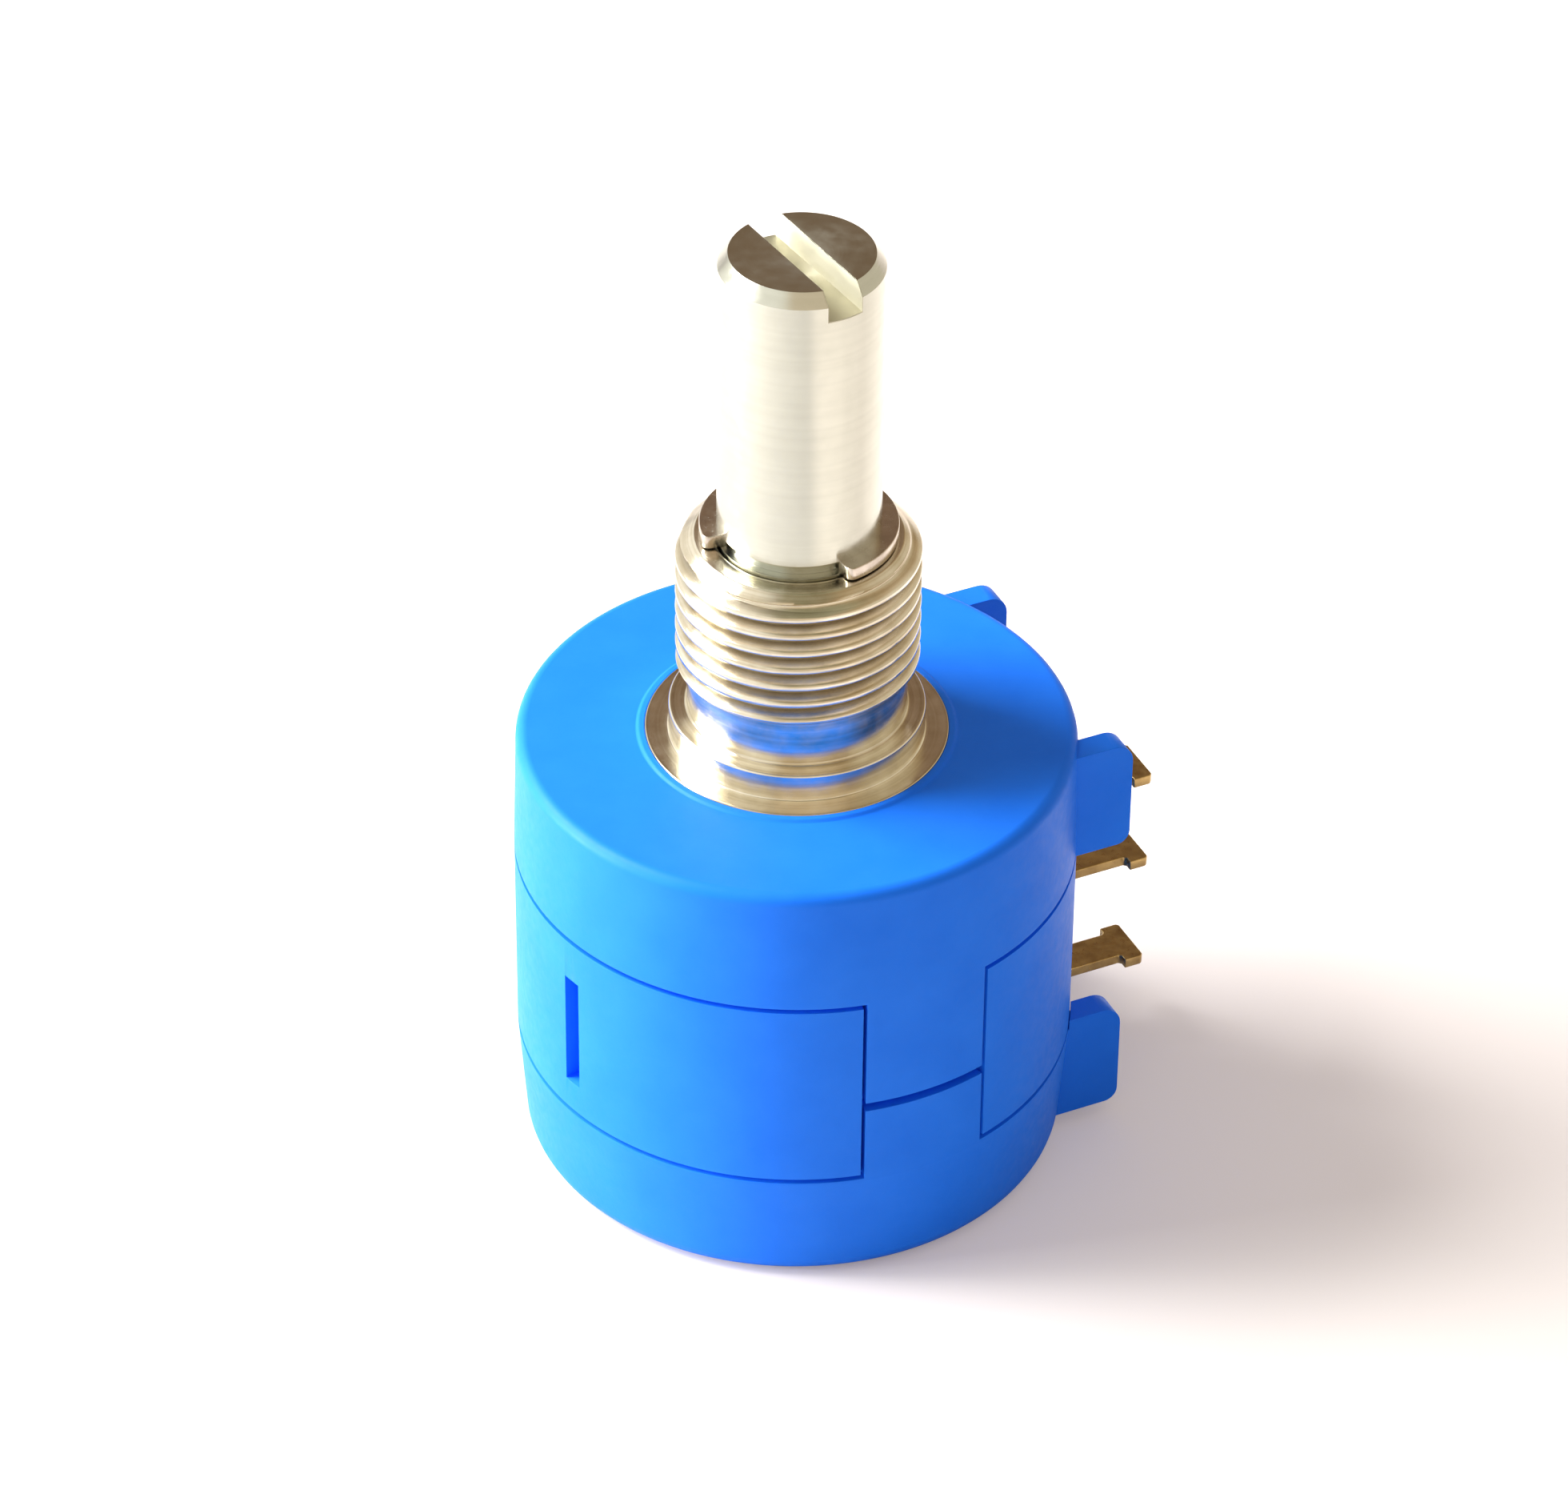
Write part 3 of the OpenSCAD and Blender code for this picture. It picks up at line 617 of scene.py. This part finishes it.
def front_lid():
    rim = BODY_R - FRONT_DRAFT
    collar, collar_top = FLANGE_R + COLLAR_W, BODY_LEN + COLLAR_H
    tab_end = TAB_JOINT + TAB_GAP / 2
    seat, inner_top = BODY_LEN - FLANGE_SEAT, BODY_LEN - FACE_T
    lid = revolve("front_lid_moulding", [
        (SKIRT_R, inner_top), (SKIRT_R, tab_end), (BODY_R, tab_end),
        (BODY_R, FRONT_SEAM + 2 * SEAM_GAP)]
        + arc(rim - RIM_ROUND, BODY_LEN - RIM_ROUND, RIM_ROUND, 0, 90)
        + [(collar + COLLAR_FOOT, BODY_LEN), (collar - COLLAR_NOSE, BODY_LEN + COLLAR_NOSE),
           (collar - COLLAR_H + COLLAR_FOOT, collar_top - COLLAR_FOOT),
           (collar - COLLAR_H - COLLAR_NOSE, collar_top),
           (FLANGE_R + COLLAR_NOSE, collar_top), (FLANGE_R, collar_top - COLLAR_NOSE),
           (FLANGE_R, seat), (BARREL_R, seat), (BARREL_R, inner_top)])
    cut(lid, beside_tab(FRONT_SEAM, -1))
    join(lid, *[fin(side, *FRONT_FIN) for side in (-1, 1)])
    return dress(soften(lid, EDGE), "housing", "front_lid", BLUE)


def rear_lid():
    base = BODY_R - REAR_DRAFT
    tab_end = TAB_JOINT - TAB_GAP / 2
    bearing_top = FLOOR_T + BEARING_H
    lid = revolve("rear_lid_moulding", [(0, 0)]
        + arc(base - BASE_ROUND, BASE_ROUND, BASE_ROUND, -90, 0)
        + [(BODY_R, REAR_SEAM - 2 * SEAM_GAP), (BODY_R, tab_end), (SKIRT_R, tab_end),
           (SKIRT_R, FLOOR_T), (BEARING_BOSS_R, FLOOR_T), (BEARING_BOSS_R, bearing_top),
           (BEARING_R, bearing_top), (BEARING_R, BEARING_FLOOR), (0, BEARING_FLOOR)])
    cut(lid, beside_tab(REAR_SEAM, 1), lug_slot(LUG_Z["rear_terminal"]),
        radial_bar(LUG_AZ, *BRUSH_CHANNEL_R, BRUSH_CHANNEL_W,
                   FLOOR_T - BRUSH_CHANNEL_DEPTH, FLOOR_T + PAST))
    fins = [fin(side, *REAR_FIN) for side in (-1, 1)]
    for piece in fins:
        cut(piece, drum(BODY_R + FIN_GAP, REAR_SEAM - SEAM_GAP - FIN_GAP, BODY_LEN))
    join(lid, *fins)
    return dress(soften(lid, EDGE), "housing", "rear_lid", BLUE)


def housing_band():
    inner_top, step_r = BODY_LEN - FACE_T, BODY_R - SEAM_DEPTH
    band = revolve("band_moulding", [
        (BORE_R, FLOOR_T), (TUBE_R, FLOOR_T), (TUBE_R, REAR_SEAM),
        (step_r, REAR_SEAM), (step_r, REAR_SEAM + SEAM_GAP),
        (BODY_R, REAR_SEAM + SEAM_GAP), (BODY_R, FRONT_SEAM - SEAM_GAP),
        (step_r, FRONT_SEAM - SEAM_GAP), (step_r, FRONT_SEAM),
        (TUBE_R, FRONT_SEAM), (TUBE_R, inner_top), (BORE_R, inner_top)])
    low, high = REAR_SEAM - NOTCH_RELIEF, FRONT_SEAM + NOTCH_RELIEF
    back = TUBE_R - NOTCH_RELIEF
    notch = sector("notch", [(back, low), (BODY_R + PAST, low), (BODY_R + PAST, high),
                             (back, high)], TAB_AZ - TAB_SPAN / 2, TAB_AZ + TAB_SPAN / 2)
    slot = radial_bar(SLOT_AZ, BODY_R - SLOT_DEPTH, BODY_R + PAST, SLOT_W,
                      SLOT_BOTTOM, SLOT_BOTTOM + SLOT_H)
    cut(band, notch, slot, *[lug_slot(z) for z in LUG_Z.values()])
    return dress(soften(band, EDGE), "housing", "housing_band", BLUE)


# ---------------------------------------------------------------- bushing with its thread
def thread_radius(angle, z):
    """Radius of the bushing's threaded stretch: a 60 degree ridge with a narrow flat on top,
    cut off by the bevel at the end and by the run-out above the neck."""
    phase = ((z - THREAD_START) / THREAD_PITCH - angle / (2 * pi) - 0.25) % 1.0
    away = min(phase, 1 - phase) * 2
    ramp = min(max((away - CREST_SHARE) / FLANK_SHARE, 0.0), 1.0)
    curved = ramp * ramp * (3 - 2 * ramp)
    ridge = THREAD_R - THREAD_DEPTH * (FLANK_STRAIGHT * ramp + (1 - FLANK_STRAIGHT) * curved)
    bevel = THREAD_R - BEVEL_R * (z - (BUSHING_TOP - BEVEL_H)) / BEVEL_H
    run_out = NECK_R + (z - (MOUNT_Z + NECK_H)) / tan(radians(RUN_OUT))
    return min(ridge, bevel, max(run_out, NECK_R))


def bushing():
    """Turned below and at its mouth, with the threaded stretch between: each column of
    points follows the thread at its own angle."""
    thread_low, inner_top = MOUNT_Z + NECK_H, BODY_LEN - FACE_T
    thread_rows = ceil((BUSHING_TOP - thread_low) / (THREAD_PITCH / THREAD_ROWS))
    seat = BODY_LEN - FLANGE_SEAT
    lower = ([(BUSHING_BORE, inner_top), (BARREL_R, inner_top), (BARREL_R, seat),
              (FLANGE_R, seat)]
             + arc(FLANGE_R - FLANGE_BEVEL, FLANGE_Z - FLANGE_BEVEL, FLANGE_BEVEL, 0, 90, 4)
             + arc(BOSS_R + BOSS_FILLET, FLANGE_Z + BOSS_FILLET, BOSS_FILLET, 270, 180, 3)
             + arc(BOSS_R - BOSS_ROUND, MOUNT_Z - BOSS_ROUND, BOSS_ROUND, 0, 90, 4)
             + arc(NECK_R + NECK_FILLET, MOUNT_Z + NECK_FILLET, NECK_FILLET, 270, 180, 4)
             + [(NECK_R, thread_low - THREAD_MARGIN)])
    upper = ([(THREAD_R - BEVEL_R - THREAD_MARGIN, BUSHING_TOP)]
             + arc(BUSHING_BORE + MOUTH_ROUND, BUSHING_TOP - MOUTH_ROUND, MOUTH_ROUND,
                   90, 180, 4))
    outline = crisp(lower + upper)
    below = outline[:outline.index(lower[-1]) + 1]
    above = outline[outline.index(upper[0]):]
    heights = [thread_low + (BUSHING_TOP - thread_low) * k / thread_rows
               for k in range(thread_rows + 1)]
    verts = []
    for i in range(THREAD_SEGMENTS):
        a = 2 * pi * i / THREAD_SEGMENTS
        column = below + [(thread_radius(a, z), z) for z in heights] + above
        verts += [(r * cos(a), r * sin(a), z) for r, z in column]
    rows = len(column)
    faces = []
    for i in range(THREAD_SEGMENTS):
        j = (i + 1) % THREAD_SEGMENTS
        for k in range(rows):
            n = (k + 1) % rows
            faces.append([i * rows + k, j * rows + k, j * rows + n, i * rows + n])
    piece = outward(new_object("threaded_bushing", verts, faces))
    return dress(shade(piece, 60), "housing", "bushing", BUSHING_METAL)


# ---------------------------------------------------------------- shaft and ring
def shaft():
    low, high = JOURNAL
    piece = revolve("slotted_shaft", [
        (0, low), (JOURNAL_R - JOURNAL_BEVEL, low), (JOURNAL_R, low + JOURNAL_BEVEL),
        (JOURNAL_R, high),
        (SHAFT_R, high), (SHAFT_R, RING_Z), (RING_SEAT_R, RING_Z),
        (RING_SEAT_R, RING_Z + RING_T), (SHAFT_R, RING_Z + RING_T),
        (SHAFT_R, SHAFT_TOP - SHAFT_BEVEL_H), (SHAFT_R - SHAFT_BEVEL, SHAFT_TOP),
        (0, SHAFT_TOP)], segments=192)
    slot = plate("driver_slot", rectangle(-SHAFT_PAST, SHAFT_PAST, DRIVER_W), 2 * DRIVER_H,
                 facing(DRIVER_AZ, SHAFT_TOP))
    flats = [plate("flat", rectangle(KEY_FLAT, SHAFT_PAST, FLAT_W), ROTOR_TOP - high,
                   facing(az, (ROTOR_TOP + high) / 2)) for az in (0, 180)]
    cut(piece, slot, *flats)
    return dress(soften(piece, METAL_EDGE), "rotor", "shaft", SHAFT_METAL)


def retaining_ring():
    """An open ring, stamped with rounded corners at its two ends."""
    start = RING_GAP_AZ + RING_GAP / 2
    end = RING_GAP_AZ - RING_GAP / 2 + 360
    steps, corner_steps = 100, 6

    def corner(az, side, r, out):
        """A rounded corner of an end: side is 1 where the ring stops there, out is 1 at its
        outer edge."""
        points = []
        for k in range(corner_steps + 1):
            t = radians(90 * k / corner_steps)
            back = RING_CORNER * (1 - sin(t))
            radius = r - out * RING_CORNER * (1 - cos(t))
            points.append((radius, az - side * degrees(back / radius)))
        return points

    spare = degrees(RING_CORNER / RING_SEAT_R)
    outer = [(RING_R, start + spare + (end - start - 2 * spare) * i / steps)
             for i in range(steps + 1)]
    inner = [(RING_SEAT_R, az) for _, az in reversed(outer)]
    polar = (outer + corner(end, 1, RING_R, 1) + corner(end, 1, RING_SEAT_R, -1)[::-1]
             + inner + corner(start, -1, RING_SEAT_R, -1) + corner(start, -1, RING_R, 1)[::-1])
    outline = [(r * cos(radians(az)), r * sin(radians(az))) for r, az in polar]
    piece = soften(plate("open_ring", outline, RING_T, facing(0, RING_Z + RING_T / 2)),
                   METAL_EDGE)
    return dress(piece, "rotor", "retaining_ring", RING_STEEL)


def thrust_washer():
    """Between the rotor and the front lid: narrower than its solid, so that the wiper's foot
    passes it at the end of its travel."""
    low, high, bore = ROTOR_TOP, ROTOR_TOP + WASHER_T, SHAFT_R + WASHER_FIT
    piece = soften(revolve("thin_washer", [(bore, low), (WASHER_R, low), (WASHER_R, high),
                                           (bore, high)], segments=128), WASHER_EDGE)
    return dress(piece, "rotor", "thrust_washer", RING_STEEL)


# ---------------------------------------------------------------- terminals
def terminal(node):
    """A flat stamped lug that ends in a T."""
    head, stem = LUG_TIP_R - LUG_HEAD_L, LUG_STEM_W / 2
    half = [(LUG_ROOT_R, stem), (head - LUG_FLARE, stem), (head, stem + LUG_FLARE),
            (head, LUG_HEAD_W / 2), (LUG_TIP_R - LUG_NICK, LUG_HEAD_W / 2),
            (LUG_TIP_R, LUG_HEAD_W / 2 - LUG_NICK)]
    outline = [(x, -y) for x, y in half] + half[::-1]
    place = facing(LUG_AZ, LUG_Z[node])
    piece = soften(plate(node + "_lug", outline, LUG_T, place), METAL_EDGE)
    return dress(piece, "housing", node, LUG_BRASS)


front_lid()
rear_lid()
housing_band()
bushing()
shaft()
retaining_ring()
thrust_washer()
for node in LUG_Z:
    terminal(node)

# the pieces inside keep their CAD shapes and get their materials
INSIDE = {
    "rotor": nylon(), "wiper_carriage": nylon(),
    "resistance_element": winding(), "front_element_clip": LEAD_METAL,
    "rear_element_clip": LEAD_METAL, "front_lead_ribbon": LEAD_METAL,
    "rear_lead_ribbon": LEAD_METAL, "collector_brush": CONTACT_METAL,
    "slip_ring": CONTACT_METAL, "collector_rail": CONTACT_METAL,
    "wiper_contact": CONTACT_METAL,
}
for node, material in INSIDE.items():
    mesh = frame["nodes"][node].data
    mesh.materials.clear()
    mesh.materials.append(material)


# ---------------------------------------------------------------- camera
def photo_camera():
    """Looks along +Y, tilted down by PITCH and rolled by ROLL."""
    data = bpy.data.cameras.new("photo_camera")
    data.sensor_fit = "HORIZONTAL"
    data.sensor_width = SENSOR_MM
    data.lens = LENS_PX * SENSOR_MM / PHOTO_W
    data.clip_start, data.clip_end = CLIP_M
    cam = bpy.data.objects.new("photo_camera", data)
    ahead = Vector((0, cos(PITCH), -sin(PITCH)))
    right, up = Vector((1, 0, 0)), Vector((0, sin(PITCH), cos(PITCH)))
    right, up = cos(ROLL) * right + sin(ROLL) * up, cos(ROLL) * up - sin(ROLL) * right
    turn = Matrix((right, up, -ahead)).transposed().to_4x4()
    cam.matrix_world = Matrix.Translation(Vector(CAMERA_MM) * MM) @ turn
    bpy.context.scene.collection.objects.link(cam)
    bpy.context.scene.camera = cam


photo_camera()


# ---------------------------------------------------------------- floor, light and world
FLOOR_HALF = 1500
PAPER = (0.74, 0.69, 0.665)
GLOW = (1.0, 0.86, 0.76)
CAMERA_GLOW = 0.24               # added to the floor as the camera sees it
MIRROR_GLOW = 0.6                # and as metal mirrors it, to the right of the object,
MIRROR_RISE = (8, 28)            # rising from one X to the other

# What metal mirrors of the room: (height of the direction, colour), from low to high,
ROOM = ((0.12, (0.95, 0.94, 0.92)), (0.30, (0.27, 0.18, 0.115)),
        (0.80, (0.27, 0.18, 0.115)), (0.95, (0.36, 0.34, 0.22)))
# and what lies over it: (axis, where it starts on that axis, where it is full, colour)
SIDES = ((0, 0.15, 0.7, (0.62, 0.45, 0.24)), (0, 0.45, 0.75, (0.85, 0.76, 0.60)),
         (1, -0.35, -0.65, (0.95, 0.80, 0.60)), (0, -0.12, -0.45, (1.3, 1.25, 1.15)))
SOFT_LIGHT = (1.0, 0.94, 0.90)
SOFT_STRENGTH = 0.5
WHITE = (1.0, 1.0, 1.0)

LAMP_TARGET = (0, 0, 10)
# name, place, size, watts, colour
LAMPS = (("key", (-205, 45, 190), (150, 150), 1.6, (1.0, 1.0, 0.99)),
         ("left_window", (-290, -25, 40), (120, 160), 2.0, (0.95, 1.0, 0.96)))


def floor():
    """Pale paper, with a faint glow that only the camera and mirroring metal see."""
    plane = new_object("floor", [(-FLOOR_HALF, -FLOOR_HALF, 0), (FLOOR_HALF, -FLOOR_HALF, 0),
                                 (FLOOR_HALF, FLOOR_HALF, 0), (-FLOOR_HALF, FLOOR_HALF, 0)],
                       [(0, 1, 2, 3)])
    material = bpy.data.materials.new("floor_paper")
    material.use_nodes = True
    t = Tree(material.node_tree)
    t.tree.nodes.clear()
    paper = t.add("ShaderNodeBsdfDiffuse")
    t.link(PAPER, paper.inputs["Color"])
    glow = t.add("ShaderNodeEmission")
    t.link(GLOW, glow.inputs["Color"])
    rays = t.add("ShaderNodeLightPath").outputs
    x, _, _ = t.split(t.add("ShaderNodeNewGeometry").outputs["Position"])
    start, end = MIRROR_RISE
    mirrored = t.math("MULTIPLY", t.rise(x, start * MM, end * MM), MIRROR_GLOW)
    level = t.math("ADD", t.math("MULTIPLY", rays["Is Camera Ray"], CAMERA_GLOW),
                   t.math("MULTIPLY", rays["Is Glossy Ray"], mirrored))
    t.link(level, glow.inputs["Strength"])
    both = t.add("ShaderNodeAddShader")
    t.link(paper.outputs[0], both.inputs[0])
    t.link(glow.outputs[0], both.inputs[1])
    t.link(both.outputs[0], t.add("ShaderNodeOutputMaterial").inputs["Surface"])
    plane.data.materials.append(material)


def area_light(name, place_mm, size_mm, watts, colour):
    """A soft lamp that faces the object."""
    data = bpy.data.lights.new(name, "AREA")
    data.shape = "RECTANGLE"
    data.size, data.size_y = size_mm[0] * MM, size_mm[1] * MM
    data.energy = watts
    data.color = colour
    lamp = bpy.data.objects.new(name, data)
    place = Vector(place_mm)
    aim = (Vector(LAMP_TARGET) - place).to_track_quat("-Z", "Y")
    lamp.matrix_world = Matrix.Translation(place * MM) @ aim.to_matrix().to_4x4()
    bpy.context.scene.collection.objects.link(lamp)


def world():
    """White as the camera sees it. In what metal reflects: bright near the horizon, dim and
    warm above, white to the left, gold and then cream to the right, cream to the front.
    Plain soft light on all else."""
    scene_world = bpy.data.worlds.new("studio")
    bpy.context.scene.world = scene_world
    scene_world.use_nodes = True
    t = Tree(scene_world.node_tree)
    t.tree.nodes.clear()
    axes = t.split(t.add("ShaderNodeTexCoord").outputs["Generated"])
    ramp = t.add("ShaderNodeValToRGB")
    t.link(axes[2], ramp.inputs["Fac"])
    stops = ramp.color_ramp.elements
    for k, (height, colour) in enumerate(ROOM):
        stop = stops[k] if k < 2 else stops.new(height)
        stop.position, stop.color = height, (*colour, 1)
    room = ramp.outputs["Color"]
    for axis, start, end, colour in SIDES:
        room = t.mix(t.rise(axes[axis], start, end), room, colour)

    def background(colour, strength=1.0):
        node = t.add("ShaderNodeBackground")
        t.link(colour, node.inputs["Color"])
        t.link(strength, node.inputs["Strength"])
        return node.outputs[0]

    def choose(ray, rest, seen):
        node = t.add("ShaderNodeMixShader")
        for value, socket in zip((rays[ray], rest, seen), node.inputs):
            t.link(value, socket)
        return node.outputs[0]

    rays = t.add("ShaderNodeLightPath").outputs
    lit = choose("Is Glossy Ray", background(SOFT_LIGHT, SOFT_STRENGTH), background(room))
    lit = choose("Is Camera Ray", lit, background(WHITE))
    t.link(lit, t.add("ShaderNodeOutputWorld").inputs["Surface"])


floor()
world()
for lamp in LAMPS:
    area_light(*lamp)
bpy.context.scene.view_settings.view_transform = "Standard"
